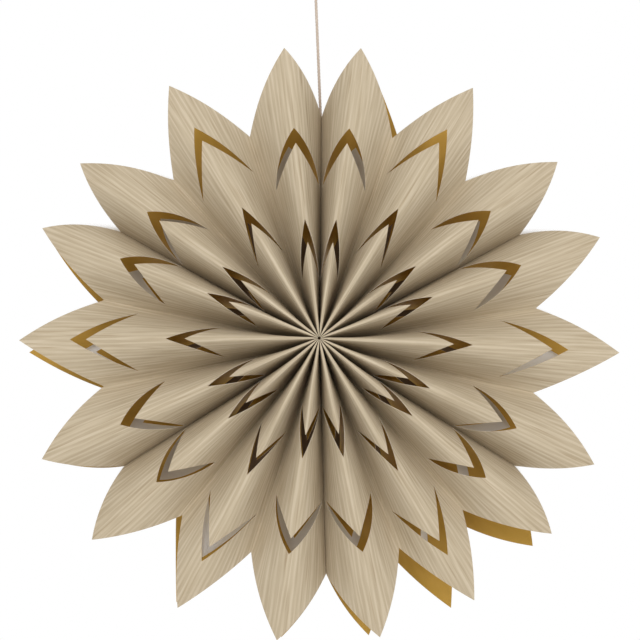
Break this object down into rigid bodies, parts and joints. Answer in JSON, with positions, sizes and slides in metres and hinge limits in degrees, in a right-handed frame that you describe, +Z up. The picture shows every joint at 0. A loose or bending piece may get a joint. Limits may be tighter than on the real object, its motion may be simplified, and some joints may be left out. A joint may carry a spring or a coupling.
{
  "type": "folded paper star",
  "caption": "Hanging round star of folded, die-cut paper bags with pointed petals and chevron slots, wood-grain print outside and gold inside, on a cord with a loop.",
  "frame": {"origin": "on the hub axis of the star, in its middle plane, midway between front and back", "axes": "+Z up towards the cord, +Y from the front of the star to its back along the hub axis, +X to the right seen from the front"},
  "size_m": [0.3999, 0.08, 0.4844],
  "materials": {
    "printed_paper": "matt beige wood-grain print outside, gold inside",
    "cord": "twisted natural cord"
  },
  "bodies": {
    "root": {"paper_bag_1": "printed_paper", "paper_bag_2": "printed_paper", "paper_bag_3": "printed_paper", "paper_bag_4": "printed_paper", "paper_bag_5": "printed_paper", "paper_bag_6": "printed_paper", "hanging_cord": "cord"}
  },
  "joints": []
}
